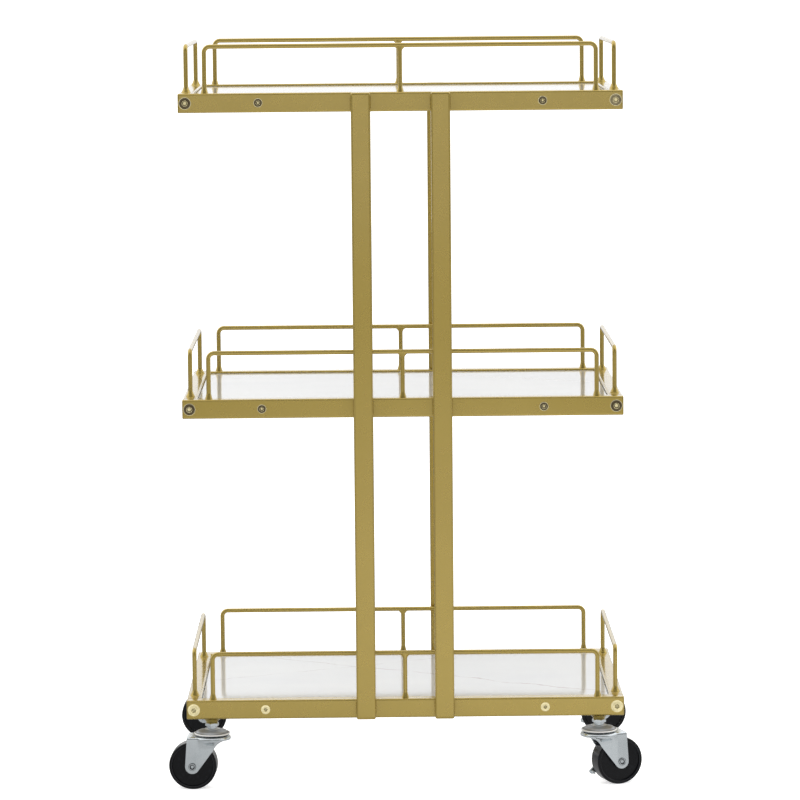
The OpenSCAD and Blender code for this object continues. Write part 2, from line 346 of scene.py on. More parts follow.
def make_beams(gold):
    ends = box_mm("beam_end_caps")
    caps = Shape()
    for level in LEVELS:
        for side in SIDES:
            node = f"{level}_{side}_beam"
            stand_for(node, tube_shape(node, "x").mesh(node), gold)
            beam = box_mm(node)
            matrix = axis_matrix("x", (0, beam.middle.y, beam.middle.z))
            for outer, inner in ((ends.low.x, beam.low.x), (ends.high.x, beam.high.x)):
                rings = cap_rings(beam.size.y, beam.size.z, outer, inner)
                caps.loft([moved(r, matrix) for r in rings])
        for end in ENDS:
            node = f"{level}_{end}_end_beam"
            stand_for(node, tube_shape(node, "y").mesh(node), gold)
    stand_for("beam_end_caps", caps.mesh("beam_end_caps"), gold)


# ---- guard rails

def foot_radius(height, foot_r):
    """Radius of a welded foot, which falls from foot_r at the beam to the wire's own."""
    share = max(0.0, 1 - height / FOOT_H)
    return WIRE_R + (foot_r - WIRE_R) * share ** 1.25


def lumpy_circle(radius, height, seed, steps=20):
    """Round section whose welded foot is slightly uneven."""
    points = []
    lump = 0.1 * max(0.0, radius - WIRE_R)
    for i in range(steps):
        turn = math.tau * i / steps
        probe = Vector((2 * math.cos(turn), 2 * math.sin(turn), height * 0.7 + seed * 5.1))
        r = radius - lump + lump * noise.noise(probe)
        points.append((r * math.cos(turn), r * math.sin(turn)))
    return points


def bent_wire(shape, half_span, top, foot_r, place, seed):
    """Wire that stands on two welded feet and is bent over into a level rail."""
    foot_steps = 10
    leg = [FOOT_H * k / foot_steps for k in range(foot_steps + 1)]
    leg += [top * 0.45, top - BEND_R - 1]
    half = [(-half_span, z) for z in leg]
    half += arc(BEND_R - half_span, top - BEND_R, BEND_R, 180, 90, 12)
    half += [(BEND_R - half_span + 1, top), (-half_span / 2, top)]
    path = half + [(0, top)] + [(-p, q) for p, q in reversed(half)]

    def section(i):
        p, q = path[i]
        return lumpy_circle(foot_radius(q, foot_r), q, seed + (p > 0))

    sweep(shape, path, section, place)


def make_guard_rails(gold):
    posts = Shape()
    for number, level in enumerate(LEVELS):
        for side in SIDES:
            node = f"{level}_{side}_guard_rail"
            low, _, middle, size = box_mm(node)
            foot_r = size.y / 2
            top = size.z - WIRE_R
            shape = Shape()
            bent_wire(shape, size.x / 2 - foot_r, top, foot_r,
                      lambda p, q, out: (p, middle.y + out, low.z + q), number * 7 + middle.y)
            stand_for(node, shape.mesh(node), gold)
            guard_rail_post(posts, Vector((0, middle.y, low.z)), top, foot_r, number + middle.y)
        for end in ENDS:
            node = f"{level}_{end}_end_rail"
            low, _, middle, size = box_mm(node)
            foot_r = size.x / 2
            shape = Shape()
            bent_wire(shape, size.y / 2 - foot_r, size.z - WIRE_R, foot_r,
                      lambda p, q, out: (middle.x - out, p, low.z + q), number * 5 + middle.x)
            stand_for(node, shape.mesh(node), gold)
    stand_for("guard_rail_posts", posts.mesh("guard_rail_posts"), gold)


def guard_rail_post(shape, base, top, foot_r, seed):
    """Post under the middle of a rail, with a weld that spreads along the rail."""
    thinner = 0.1
    overlap = 0.1
    weld_h = 4.2
    weld_steps = 9
    rings = []
    for z in [FOOT_H * k / 10 for k in range(11)] + [top / 2, top - WIRE_R - weld_h]:
        radius = foot_radius(z, foot_r) - thinner
        rings.append([(x, y, z) for x, y in lumpy_circle(radius, z, seed)])
    for k in range(1, weld_steps + 1):
        share = k / weld_steps
        ring = []
        for x, y in lumpy_circle(WIRE_R - thinner, top, seed):
            saddle = top - math.sqrt(WIRE_R ** 2 - (0.96 * y) ** 2)
            widening = 1 + 1.2 * share ** 2.2
            ring.append((x * widening, y, saddle - weld_h * (1 - share) + overlap))
        rings.append(ring)
    shape.loft([[base + Vector(p) for p in ring] for ring in rings])


# ---- shelves

def make_panels(marble):
    corner_r, lower_r, upper_r = 1.5, 0.5, 0.6
    for level in LEVELS:
        node = level + "_panel"
        _, _, middle, size = box_mm(node)
        half_z = size.z / 2
        shape = Shape()
        rings = bar_rings(size.x, size.y, corner_r, -half_z, half_z, lower_r, upper_r, 3)
        shape.loft([moved(r, Matrix.Translation(middle)) for r in rings])
        stand_for(node, shape.mesh(node), marble)


def make_support_bars(gold):
    edge_r = 1.0
    for level in LEVELS:
        node = level + "_support_bars"
        _, high, middle, size = box_mm(node)
        rings = bar_rings(SUPPORT_W, size.z, edge_r, -size.y / 2, size.y / 2, SEAM, SEAM)
        shape = Shape()
        for sx in BOTH_ENDS:
            x = sx * (high.x - SUPPORT_W / 2)
            matrix = axis_matrix("y", (x, middle.y, middle.z))
            shape.loft([moved(r, matrix) for r in rings])
        stand_for(node, shape.mesh(node), gold)


# ---- bolts

def socket_bolt(shape, matrix, bolt):
    """Domed socket screw whose seat is at the matrix's origin, facing +Z."""
    thread_r, head_r = bolt.thread / 2, bolt.head / 2
    # The head has an upright rim, and the dome starts a little inside it
    rim_h, rim_w = 0.8, 0.5
    foot_r = head_r - rim_w
    dome_h = bolt.head_h - rim_h
    dome_r = (foot_r ** 2 + dome_h ** 2) / (2 * dome_h)
    flat_r = bolt.socket * 0.58 + 0.3
    rings = [circle(thread_r - 0.6, -bolt.length), circle(thread_r, 0.6 - bolt.length),
             circle(thread_r, -0.05), circle(head_r - 0.35, 0), circle(head_r, 0.3),
             circle(head_r, rim_h - 0.15), circle(head_r - 0.12, rim_h)]
    for k in range(7):
        r = foot_r + (flat_r - foot_r) * k / 6
        rings.append(circle(r, bolt.head_h - dome_r + math.sqrt(dome_r ** 2 - r ** 2)))
    mouth = rings[-1][0][2]
    rings += [hexagon(bolt.socket + 0.5, mouth), hexagon(bolt.socket, mouth - 0.3),
              hexagon(bolt.socket, mouth - 1.5), circle(bolt.socket * 0.2, mouth - 2.0)]
    shape.loft([moved(r, matrix) for r in rings])


def make_bolts(brass):
    end_x = box_mm("top_right_end_beam").middle.x
    support_x = box_mm("top_support_bars").high.x - SUPPORT_W / 2
    for node, x, bolt in (("corner_bolts", end_x, CORNER_BOLT),
                          ("support_bolts", support_x, SUPPORT_BOLT)):
        reach = box_mm(node).high.y
        shape = Shape()
        for level, sx, side in product(LEVELS, BOTH_ENDS, SIDES):
            z = box_mm(f"{level}_{side}_beam").middle.z
            seat = FACING[side] * (reach - bolt.head_h)
            place = Matrix.Translation((sx * x, seat, z))
            face = Matrix.Rotation(math.radians(-90 * FACING[side]), 4, "X")
            # Every screw stopped at an angle of its own
            turn = Matrix.Rotation(0.7 * sx + seat * 0.01 + z, 4, "Z")
            socket_bolt(shape, place @ face @ turn, bolt)
        stand_for(node, shape.mesh(node), brass)


# ---- casters

def caster_frames():
    """For each corner: a matrix on the swivel axis whose X points at the wheel, the distance
    from that axis to the axle, and the height of the axle.
    """
    joints = {joint["name"]: Vector(joint["pos_m"]) / MM for joint in frame["joints"]}
    found = {}
    for corner in CORNERS:
        swivel = joints[corner + "_swivel_turn"]
        wheel = joints[corner + "_wheel_roll"]
        heading = math.atan2(wheel.y - swivel.y, wheel.x - swivel.x)
        place = Matrix.Translation((swivel.x, swivel.y, 0)) @ Matrix.Rotation(heading, 4, "Z")
        found[corner] = (place, (wheel - swivel).to_2d().length, wheel.z)
    return found


def make_fixed_caster_parts(gold, zinc, steel):
    inserts, studs, nuts, caps = Shape(), Shape(), Shape(), Shape()
    frame_z = box_mm("bottom_front_beam").low.z
    for number, (place, _, _) in enumerate(caster_frames().values()):
        turn = Matrix.Rotation(0.4 + number * 1.1, 4, "Z")
        insert(inserts, place, frame_z)
        stud(studs, place)
        nut(nuts, place @ turn)
        swivel_cap(caps, place)
    stand_for("caster_inserts", inserts.mesh("caster_inserts"), gold)
    stand_for("caster_studs", studs.mesh("caster_studs"), zinc)
    stand_for("caster_nuts", nuts.mesh("caster_nuts"), zinc)
    stand_for("swivel_caps", caps.mesh("swivel_caps"), steel)


def insert(shape, place, frame_z):
    """Threaded insert with a weld that spreads over the underside of the beam."""
    low, high = box_mm("caster_inserts")[:2]
    bore_r, barrel_r, flange_r = THREAD_BORE_R, 5.4, 6.2
    chamfer, edge, weld_w = 0.4, 0.5, 3.9
    weld_h = frame_z - low.z - edge
    profile = [(bore_r, high.z), (bore_r, low.z + chamfer), (bore_r + chamfer, low.z),
               (flange_r - edge, low.z), (flange_r, low.z + edge)]
    for k in range(1, 7):
        profile.append((flange_r + weld_w * (k / 6) ** 1.7, low.z + edge + weld_h * k / 6))
    profile += [(barrel_r, frame_z), (barrel_r, high.z - chamfer), (barrel_r - chamfer, high.z)]
    # Narrower across the beam than along it
    squeeze = Matrix.Diagonal((1, 0.7, 1, 1))
    lathe(shape, profile, Matrix.Translation(place.translation) @ squeeze, 48)


def stud(shape, place):
    """Threaded stem with the riveted head of the kingpin at its lower end."""
    low, high = box_mm("caster_studs")[:2]
    stem_r, head_r, head_h = 4.0, 6.5, 2.2
    seat = low.z + head_h
    profile = [(1.5, low.z + 0.6), (3.0, low.z + 0.1), (5.2, low.z), (6.1, low.z + 0.4),
               (head_r, low.z + 1.1), (head_r, seat - 0.2), (head_r - 0.2, seat),
               (stem_r, seat), (stem_r, high.z - 0.8), (stem_r - 0.8, high.z)]
    lathe(shape, profile, place, 48, closed=False)


def nut(shape, place):
    """Hexagon nut with chamfered corners, on a round collar."""
    low, high = box_mm("caster_nuts")[:2]
    across = 13.0
    chamfer_r = 0.47 * across
    bore_r, collar_r, edge = THREAD_BORE_R, 5.0, 0.5
    seat = low.z + 2.8

    def hexagon_ring(z, towards):
        ring = []
        for x, y, _ in hexagon(across, 0):
            drop = max(0.0, math.hypot(x, y) - chamfer_r) * math.tan(math.radians(30))
            ring.append((x, y, z - towards * drop))
        return ring

    rings = [circle(bore_r, low.z + edge), circle(bore_r + 0.4, low.z),
             circle(collar_r - edge, low.z), circle(collar_r, low.z + edge),
             circle(collar_r, seat), circle(chamfer_r, seat),
             hexagon_ring(seat, -1), hexagon_ring(high.z, 1), circle(chamfer_r, high.z),
             circle(bore_r + edge, high.z), circle(bore_r, high.z - edge)]
    shape.loft([moved(r, place) for r in rings], closed=True)


def swivel_cap(shape, place):
    """Dished washer over the ball race, with a rolled rim, a groove, a step and a raised boss."""
    low, high = box_mm("swivel_caps")[:2]
    bore_r, rim_r, bead_r, sheet = PLATE_BORE_R, 18.7, 0.8, 1.6
    top, rim = high.z, low.z
    under = top - sheet
    profile = [(bore_r, under), (8.3, under), (9.6, under - 0.5), (14.2, under - 1.7),
               (16.6, rim + 1.0), (17.2, rim + 0.1)]
    profile += arc(rim_r - bead_r, rim + bead_r, bead_r, -90, 120, 8)
    profile += [(17.3, rim + 1.5), (16.7, rim + 1.7), (15.6, top - 2.4), (14.9, top - 1.9),
                (12.6, top - 1.55), (11.9, top - 1.2), (9.6, top - 0.75), (8.8, top - 0.2),
                (8.2, top), (bore_r + 0.5, top), (bore_r, top - 0.4)]
    lathe(shape, profile, place, 72)


def fork_columns(trail, axle_z, plate_top):
    """Lines down one side of the stamped fork, from its nose to its back.

    Each is (start on the plate, shoulder over the leg, lower end), with u towards the
    wheel, v sideways and z up.
    """
    # Round plate, side of the legs, and the round ends of the legs about the axle
    disc_r, side_v, end_r = 19.5, FORK_SIDE, 7.5
    bore_r = PLATE_BORE_R
    # The legs lean in before the crease and stand upright behind it
    crease_u, back_top_u, back_u = 15.4, trail + 5.5, trail + end_r
    lean = math.tan(math.radians(10))
    # The nose's lip falls slightly until the round throat begins
    lip_z, lip_fall, throat_start_u = plate_top - 4.3, 0.8, -14.0
    throat_u, throat_z, throat_r = -17.0, axle_z + 11, 16.0
    # A straight front edge runs from the throat to where it meets the leg's round end
    waist_u = -2.2
    waist_z = throat_z + math.sqrt(throat_r ** 2 - (waist_u - throat_u) ** 2)
    low_u, low_z = trail - 6.12, axle_z - 4.33

    def lower_edge(u):
        if u < throat_start_u:
            share = (throat_start_u - u) / (disc_r + throat_start_u)
            return lip_z + lip_fall * share
        if u < waist_u:
            return throat_z + math.sqrt(throat_r ** 2 - (u - throat_u) ** 2)
        if u < low_u:
            return waist_z + (low_z - waist_z) * (u - waist_u) / (low_u - waist_u)
        return axle_z - math.sqrt(max(end_r ** 2 - (u - trail) ** 2, 0))

    columns = []
    # Round the nose, then along the side, then round the back of the legs
    for k in range(19):
        turn = math.radians(180 - 5 * k)
        u, v = disc_r * math.cos(turn), disc_r * math.sin(turn)
        start = (bore_r * math.cos(turn), bore_r * math.sin(turn))
        foot_v = min(v, side_v - (crease_u - u) * lean)
        columns.append((start, (u, v), (u, foot_v, lower_edge(u))))
    for u in (1.5, 3, 5, 7, 9, 11, 12.5, 14, crease_u):
        v = max(side_v, math.sqrt(max(disc_r ** 2 - u ** 2, 0)))
        start = (u, math.sqrt(max(bore_r ** 2 - u ** 2, 0)))
        columns.append((start, (u, v), (u, side_v - (crease_u - u) * lean, lower_edge(u))))
    for k in range(1, 13):
        turn = math.radians(180 - 15 * k)
        foot_u = trail + end_r * math.cos(turn)
        if foot_u > crease_u:
            share = (foot_u - crease_u) / (back_u - crease_u)
            u = crease_u + share * (back_top_u - crease_u)
            columns.append(((u, 0), (u, side_v), (foot_u, side_v, lower_edge(foot_u))))
    return columns


def fork_sheet(columns, plate_top):
    """Surface points of half a fork, one row per column."""
    bend_r = 2.6
    flare_h = 8.0
    groove_r, groove_w, groove_depth = 12.0, 1.3, 0.45
    plate_shares = (0, 0.15, 0.3, 0.45, 0.55, 0.65, 0.75, 0.85, 0.93, 1)
    bend_steps, leg_steps = 6, 14
    rows = []
    for (su, sv), (u, v), (foot_u, foot_v, foot_z) in columns:
        row = []
        span = Vector((u - su, v - sv))
        reach = span.length - bend_r
        direction = span.normalized()
        for share in plate_shares:
            p = Vector((su, sv)) + direction * reach * share
            groove = groove_depth * math.exp(-((p.length - groove_r) / groove_w) ** 2)
            row.append((p.x, p.y, plate_top - groove))
        hinge = Vector((su, sv)) + direction * reach
        for k in range(1, bend_steps + 1):
            turn = math.radians(90 * k / bend_steps)
            p = hinge + direction * bend_r * math.sin(turn)
            row.append((p.x, p.y, plate_top - bend_r * (1 - math.cos(turn))))
        shoulder_z = plate_top - bend_r
        for k in range(1, leg_steps + 1):
            share = k / leg_steps
            z = shoulder_z + (foot_z - shoulder_z) * share
            fall = min(1.0, (shoulder_z - z) / min(flare_h, max(shoulder_z - foot_z, 0.1)))
            ease = fall * fall * (3 - 2 * fall)
            row.append((u + (foot_u - u) * share, v + (foot_v - v) * ease, z))
        rows.append(row)
    return rows


def fork_mesh(name, trail, axle_z, plate_top, place):
    """Both halves of the fork's outer surface, as one sheet without thickness."""
    rows = fork_sheet(fork_columns(trail, axle_z, plate_top), plate_top)
    bm = bmesh.new()
    for side in (1, -1):
        grid = [[bm.verts.new(place @ Vector((x, side * y, z)) * MM) for x, y, z in row]
                for row in rows]
        for a, b in zip(grid, grid[1:]):
            for i in range(len(a) - 1):
                corners = (a[i], a[i + 1], b[i + 1], b[i])
                bm.faces.new(corners if side < 0 else tuple(reversed(corners)))
    bmesh.ops.remove_doubles(bm, verts=bm.verts, dist=0.01 * MM)
    bm.normal_update()
    top = max(bm.faces, key=lambda face: face.calc_center_median().z)
    if top.normal.z < 0:
        bmesh.ops.reverse_faces(bm, faces=bm.faces)
    data = bpy.data.meshes.new(name)
    bm.to_mesh(data)
    bm.free()
    return data


def make_forks(zinc):
    for corner, (place, trail, axle_z) in caster_frames().items():
        node = corner + "_fork"
        plate_top = box_mm(node).high.z
        mesh = fork_mesh(node, trail, axle_z, plate_top, place)
        obj = stand_for(node, mesh, zinc)
        sheet = obj.modifiers.new("sheet", "SOLIDIFY")
        sheet.thickness = FORK_SHEET * MM
        sheet.offset = -1
        edges = obj.modifiers.new("edges", "BEVEL")
        edges.width = 0.55 * MM
        edges.segments = 2
        edges.limit_method = "ANGLE"
        edges.angle_limit = math.radians(50)


def along_v(place, trail, axle_z, start_v, direction=1):
    """Matrix on the axle's line, with Z along v or against it, starting at start_v."""
    turn = Matrix.Rotation(math.radians(-90 * direction), 4, "X")
    return place @ Matrix.Translation((trail, start_v, axle_z)) @ turn


def make_axles(zinc):
    for corner, (place, trail, axle_z) in caster_frames().items():
        node = corner + "_axle"
        near_v = -FORK_SIDE
        far_v = BRAKE_HEAD if corner.endswith("right") else FORK_SIDE
        shape = Shape()
        start = along_v(place, trail, axle_z, near_v)
        shank_r, length = 2.9, far_v - near_v
        lathe(shape, [(shank_r, 0.1), (shank_r, length - 0.1)], start, 32, closed=False)
        for v, direction in ((near_v, -1), (far_v, 1)):
            rivet_head(shape, along_v(place, trail, axle_z, v, direction))
        stand_for(node, shape.mesh(node), zinc)


def rivet_head(shape, matrix):
    """Flared rivet head with a rolled lip round a dimple."""
    crest_r, crest_z, lip_r = 3.15, 0.95, 0.85
    profile = [(2.6, -0.4), (3.3, -0.1), (3.5, 0.3), (3.9, 0.6)]
    profile += arc(crest_r, crest_z, lip_r, 0, 180, 8)
    profile += [(2.2, 0.6), (1.0, -0.5), (0.4, -0.6)]
    lathe(shape, profile, matrix, 40, closed=False)


def make_wheels(rubber):
    for corner, (place, trail, axle_z) in caster_frames().items():
        node = corner + "_wheel"
        shape = Shape()
        lathe(shape, wheel_profile(axle_z), along_v(place, trail, axle_z, 0), 128)
        stand_for(node, shape.mesh(node), rubber)


def wheel_profile(radius):
    """Section of a wheel: hub, dished web, narrow raised rim and a rounded tread."""
    half, hub_half, bore_r, hub_r = 10.0, 12.0, 3.1, 6.6
    chamfer, hub_edge, tread_edge = 0.4, 0.8, 1.9
    web = half - 3.0
    rim_r = radius - 3.4
    side = [(bore_r, hub_half - chamfer), (bore_r + chamfer, hub_half), (hub_r, hub_half)]
    side += arc(hub_r, hub_half - hub_edge, hub_edge, 75, 5, 3)
    side += [(7.7, web + 0.9)]
    side += arc(8.8, web + 1.1, 1.1, 200, 270, 3)
    side += [(14.0, web), (rim_r - 1.6, web)]
    side += arc(rim_r - 1.0, web + 1.0, 1.0, 275, 350, 3)
    side += [(rim_r, half - 0.5), (rim_r + 0.4, half - 0.1), (rim_r + 1.0, half),
             (rim_r + 1.5, half - 0.15)]
    side += arc(radius - tread_edge, half - 2.0, tread_edge, 75, 6, 6)
    side += [(radius - 0.03, 3.0), (radius, 0.5)]
    return side + [(r, -v) for r, v in reversed(side)]


# ---- brake levers

def make_brake_levers(zinc):
    along = Vector((-math.cos(LEVER_DROP), 0, -math.sin(LEVER_DROP)))
    up = Vector((-math.sin(LEVER_DROP), 0, math.cos(LEVER_DROP)))
    for side in SIDES:
        corner = side + "_right"
        node = corner + "_brake_lever"
        place, trail, axle_z = caster_frames()[corner]
        lever = Matrix((along, up, Vector((0, 1, 0)))).transposed().to_4x4()
        matrix = place @ Matrix.Translation((trail, 0, axle_z)) @ lever
        shape = Shape()
        lever_arm(shape, matrix)
        lever_shoe(shape, matrix)
        lever_foot(shape, matrix)
        stand_for(node, shape.mesh(node), zinc)


def lever_arm(shape, matrix):
    """Flat arm round the axle, with a hole and rounded edges."""
    hub_r, tip_r, reach, hole_r, edge = 6.9, 2.9, 26.2, 3.1, 0.3
    steps = 72
    taper_steps = 48

    def outline(grow):
        """Where a ray from the axle leaves the union of the hub, the taper and the tip."""
        points = []
        for i in range(steps):
            turn = math.tau * i / steps
            ray = Vector((math.cos(turn), math.sin(turn)))
            best = hub_r
            for k in range(taper_steps + 1):
                share = k / taper_steps
                centre = reach * share
                radius = hub_r + (tip_r - hub_r) * share
                inside = radius ** 2 - (centre * ray.y) ** 2
                if inside > 0:
                    best = max(best, centre * ray.x + math.sqrt(inside))
            points.append(ray * (best + grow))
        return points

    def ring(points, v):
        return moved([(p[0], p[1], v) for p in points], matrix)

    hole = [(x, y) for x, y, _ in circle(hole_r, 0, steps)]
    wide_hole = [(x, y) for x, y, _ in circle(hole_r + edge, 0, steps)]
    shape.loft([
        ring(wide_hole, ARM_NEAR), ring(outline(-edge), ARM_NEAR),
        ring(outline(0), ARM_NEAR + edge), ring(outline(0), ARM_FAR - edge),
        ring(outline(-edge), ARM_FAR), ring(wide_hole, ARM_FAR),
        ring(hole, ARM_FAR - edge), ring(hole, ARM_NEAR + edge)], closed=True)


def bent_strip(shape, matrix, path, thickness):
    """Narrow strip of the lever's sheet, bent along a path of (along, v) points."""
    width, edge_r = 3.4, 0.45
    outline = rounded_outline(thickness, width, edge_r, 3)
    sweep(shape, path, lambda i: outline, lambda p, q, out: matrix @ Vector((p, out, q)))


def lever_shoe(shape, matrix):
    """Pad that reaches from the arm over the edge of the tread."""
    reach = 26.5
    root_v, middle_v, tip_v = 16.4, 13.0, 9.2
    bent_strip(shape, matrix, [(reach, root_v), (reach, middle_v), (reach, tip_v)], thickness=1.8)


def lever_foot(shape, matrix):
    """Tab that the foot pushes, bent out of the arm's end."""
    root, bend, bend_r = 23.0, 26.3, 1.4
    arm_v, tip_v = 15.8, 18.2
    path = [(root, arm_v), (bend, arm_v)]
    path += arc(bend, arm_v + bend_r, bend_r, -90, 0, 6)[1:]
    path += [(bend + bend_r, tip_v)]
    bent_strip(shape, matrix, path, thickness=1.7)


# ---- materials

def srgb(red, green, blue):
    """Linear colour of an 8-bit screen colour."""
    parts = [c / 255 for c in (red, green, blue)]
    return [c / 12.92 if c <= 0.04045 else ((c + 0.055) / 1.055) ** 2.4 for c in parts] + [1]


def new_material(name, values):
    """Material with the shader's constant values set on its own sockets."""
    material = bpy.data.materials.new(name)
    material.use_nodes = True
    shader = material.node_tree.nodes["Principled BSDF"]
    for socket, value in values.items():
        shader.inputs[socket].default_value = value
    return material, material.node_tree, shader


def add_node(tree, kind, inputs=None, **settings):
    made = tree.nodes.new("ShaderNode" + kind)
    for key, value in settings.items():
        setattr(made, key, value)
    for key, value in (inputs or {}).items():
        if isinstance(value, bpy.types.NodeSocket):
            tree.links.new(value, made.inputs[key])
        else:
            made.inputs[key].default_value = value
    return made


def noise_at(tree, size, detail=3.0, stretch=(1, 1, 1), rough=0.5):
    """Noise whose lumps are about size millimetres wide, stretched by factors along X, Y, Z."""
    place = add_node(tree, "TexCoord").outputs["Object"]
    scale = [1 / (size * MM * s) for s in stretch]
    mapped = add_node(tree, "Mapping", {"Vector": place, "Scale": scale})
    made = add_node(tree, "TexNoise", {
        "Vector": mapped.outputs["Vector"], "Scale": 1.0, "Detail": detail, "Roughness": rough})
    return made.outputs["Fac"]


def spread(tree, value, low, high, to_low=0.0, to_high=1.0, kind="LINEAR"):
    """Maps the range from low to high onto the one from to_low to to_high, and no further."""
    inputs = {"Value": value, "From Min": low, "From Max": high, "To Min": to_low, "To Max": to_high}
    return add_node(tree, "MapRange", inputs, interpolation_type=kind).outputs["Result"]


def blend_colour(tree, factor, a, b):
    return add_node(tree, "Mix", {0: factor, 6: a, 7: b}, data_type="RGBA").outputs[2]


def math_node(tree, operation, a, b=0.0):
    return add_node(tree, "Math", {0: a, 1: b}, operation=operation).outputs[0]


def multiply(tree, first, *others):
    """Product of two or more values."""
    for other in others:
        first = math_node(tree, "MULTIPLY", first, other)
    return first


def coordinate(tree, kind="Object"):
    """The X, Y and Z sockets of a texture coordinate."""
    place = add_node(tree, "TexCoord").outputs[kind]
    return add_node(tree, "SeparateXYZ", {"Vector": place}).outputs


def bump(tree, height, distance, strength):
    """Normal of a surface whose relief is distance millimetres high."""
    inputs = {"Height": height, "Distance": distance * MM, "Strength": strength}
    return add_node(tree, "Bump", inputs).outputs["Normal"]


def feed(tree, shader, **sockets):
    """Links values to the shader's sockets, whose names are written with _ for each space."""
    for name, value in sockets.items():
        tree.links.new(value, shader.inputs[name.replace("_", " ")])


def edge_share(tree, low, high, to_low=0.0, to_high=1.0):
    """Factor that follows pointiness, which is over 0.5 on edges and under it in hollows."""
    pointiness = add_node(tree, "NewGeometry").outputs["Pointiness"]
    return spread(tree, pointiness, low, high, to_low, to_high)


def shoulder_share(tree, flat, steep):
    """Factor that is 0 on faces square to or along the Y axis and 1 on the slopes between."""
    facing = math_node(tree, "ABSOLUTE", coordinate(tree, "Normal")["Y"])
    off_flat = spread(tree, facing, flat, steep, 0, 1, "SMOOTHSTEP")
    return multiply(tree, off_flat, spread(tree, facing, 0.1, 0.4))


def gold_paint():
    """Satin champagne-gold paint: fine metal flake, soft orange peel and faint clouds."""
    material, tree, shader = new_material("gold_paint", {
        "Metallic": 0.87, "Coat Weight": 1.0, "Coat Roughness": 0.1, "Coat IOR": 1.6})
    flake = spread(tree, noise_at(tree, 0.6, 1.0), 0.35, 0.65)
    cloud = spread(tree, noise_at(tree, 60.0, 2.0), 0.3, 0.7)
    base = blend_colour(tree, flake, srgb(186, 161, 74), srgb(189, 164, 77))
    aged = blend_colour(tree, flake, srgb(183, 158, 71), srgb(186, 161, 74))
    colour = blend_colour(tree, cloud, aged, base)
    rough = spread(tree, noise_at(tree, 12.0, 3.0), 0.3, 0.7, 0.26, 0.30)
    peel = bump(tree, noise_at(tree, 4.0, 2.0), 0.01, 0.08)
    feed(tree, shader, Base_Color=colour, Roughness=rough, Normal=peel)
    return material


def vein(tree, slope, offset, climb, width, wobble):
    """Factor that is 1 on a wavering line y = slope x + offset and 0 beyond its width.

    The line moves by climb for each unit of height, so that every panel has its own.
    """
    place = coordinate(tree)
    drift = spread(tree, noise_at(tree, 60.0, 5.0, rough=0.6), 0, 1, -wobble * MM, wobble * MM)
    line = -offset * MM
    for axis, factor in (("X", -slope), ("Z", -climb)):
        inputs = {0: place[axis], 1: factor, 2: line}
        line = add_node(tree, "Math", inputs, operation="MULTIPLY_ADD").outputs[0]
    away = math_node(tree, "ADD", math_node(tree, "ADD", place["Y"], line), drift)
    return spread(tree, math_node(tree, "ABSOLUTE", away), 0, width * MM, 1, 0, "SMOOTHSTEP")


def marble_panel():
    """Glossy white panel with a few faint grey and pinkish veins."""
    material, tree, shader = new_material("marble_panel", {
        "Roughness": 0.1, "Coat Weight": 0.5, "Coat Roughness": 0.05})
    cloud = spread(tree, noise_at(tree, 90.0, 5.0, (1.6, 1, 1)), 0.35, 0.75)
    colour = blend_colour(tree, cloud, srgb(224, 225, 225), srgb(215, 217, 220))
    patch = spread(tree, noise_at(tree, 45.0, 2.0), 0.3, 0.55)
    for slope, offset, climb, width, wobble, tint in (
            (-0.6, -10, 0.35, 3.0, 24, srgb(192, 182, 180)),
            (0.5, 55, 0.30, 2.0, 18, srgb(202, 199, 199))):
        line = vein(tree, slope, offset, climb, width, wobble)
        colour = blend_colour(tree, multiply(tree, line, patch), colour, tint)
    feed(tree, shader, Base_Color=colour)
    return material


def yellow_zinc():
    """Pale brass-yellow plate, with a painted dark reflection on the domes' shoulders on the upper
    shelves and painted shade in the sockets on the lowest.
    """
    material, tree, shader = new_material("yellow_zinc", {"Metallic": 0.45})
    mottle = spread(tree, noise_at(tree, 1.5, 4.0), 0.35, 0.65)
    pale = blend_colour(tree, mottle, srgb(230, 217, 165), srgb(243, 231, 184))
    # Painted dark reflection on the slopes of the domes, on the upper shelves only and patchy
    shoulder = shoulder_share(tree, 0.99, 0.965)
    height = coordinate(tree)["Z"]
    upper = spread(tree, height, 0.15, 0.3, 0, 0.95)
    lower = spread(tree, height, 0.15, 0.3, 1, 0)
    patchy_reflection = spread(tree, noise_at(tree, 70.0, 2.0), 0.36, 0.46, 0.7, 1)
    dark = multiply(tree, shoulder, upper, patchy_reflection)
    colour = blend_colour(tree, dark, pale, srgb(56, 43, 22))
    # Painted shade in the sockets, on the lowest shelf only
    socket_shade = multiply(tree, edge_share(tree, 0.485, 0.43), lower)
    colour = blend_colour(tree, socket_shade, colour, srgb(120, 112, 76))
    rough = spread(tree, noise_at(tree, 0.8, 3.0), 0.3, 0.7, 0.14, 0.24)
    grain = bump(tree, noise_at(tree, 0.5, 2.0), 0.01, 0.3)
    feed(tree, shader, Base_Color=colour, Roughness=rough, Normal=grain)
    return material


def bright_zinc(name="bright_zinc", painted_slope_shade=False):
    """Bluish bright zinc plate: faint streaks, painted shade in the hollows and, if asked for,
    painted shade on the slopes.
    """
    material, tree, shader = new_material(name, {"Metallic": 0.95})
    cloud = spread(tree, noise_at(tree, 14.0, 3.0), 0.3, 0.7)
    streak = spread(tree, noise_at(tree, 2.5, 3.0, (3, 3, 1)), 0.3, 0.7)
    colour = blend_colour(tree, cloud, srgb(216, 223, 226), srgb(224, 230, 233))
    # Painted shade in the hollows
    colour = blend_colour(tree, edge_share(tree, 0.40, 0.465, 0.3, 0), colour, srgb(84, 87, 90))
    # Painted shade on the slopes, when asked for
    if painted_slope_shade:
        colour = blend_colour(tree, shoulder_share(tree, 0.96, 0.8), colour, srgb(98, 100, 102))
    rough = spread(tree, streak, 0, 1, 0.19, 0.25)
    grain = bump(tree, noise_at(tree, 0.9, 2.0), 0.006, 0.15)
    feed(tree, shader, Base_Color=colour, Roughness=rough, Normal=grain)
    return material


